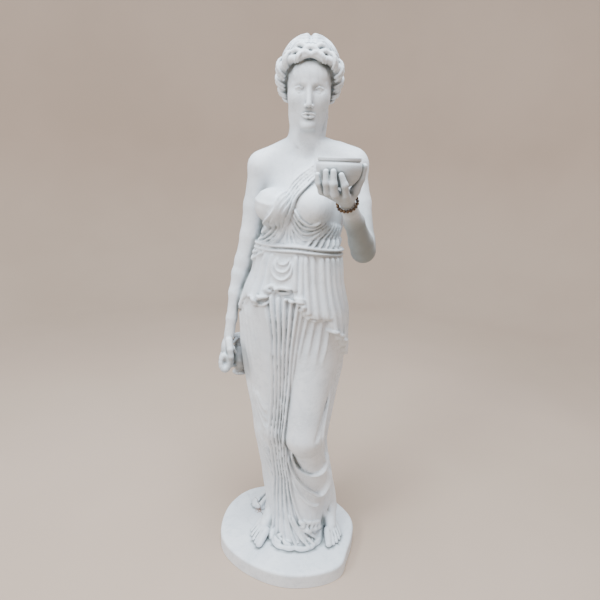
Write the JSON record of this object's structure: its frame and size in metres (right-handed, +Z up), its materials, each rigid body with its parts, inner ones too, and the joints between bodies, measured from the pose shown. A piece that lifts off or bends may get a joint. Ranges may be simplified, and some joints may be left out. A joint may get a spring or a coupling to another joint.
{
  "type": "garden statue",
  "caption": "White marble garden statue of a draped cup-bearer on a low rounded plinth, jug in one hand, bowl on the other, brown bead bracelet.",
  "frame": {"origin": "on the plinth's flat underside, near its middle", "axes": "+X towards the raised arm (the figure's left), +Y behind the figure, +Z up"},
  "size_m": [0.4894, 0.5585, 1.698],
  "materials": {
    "marble": "matte",
    "beads": "satin"
  },
  "bodies": {
    "root": {"statue": "marble", "bracelet": "beads"}
  },
  "joints": []
}
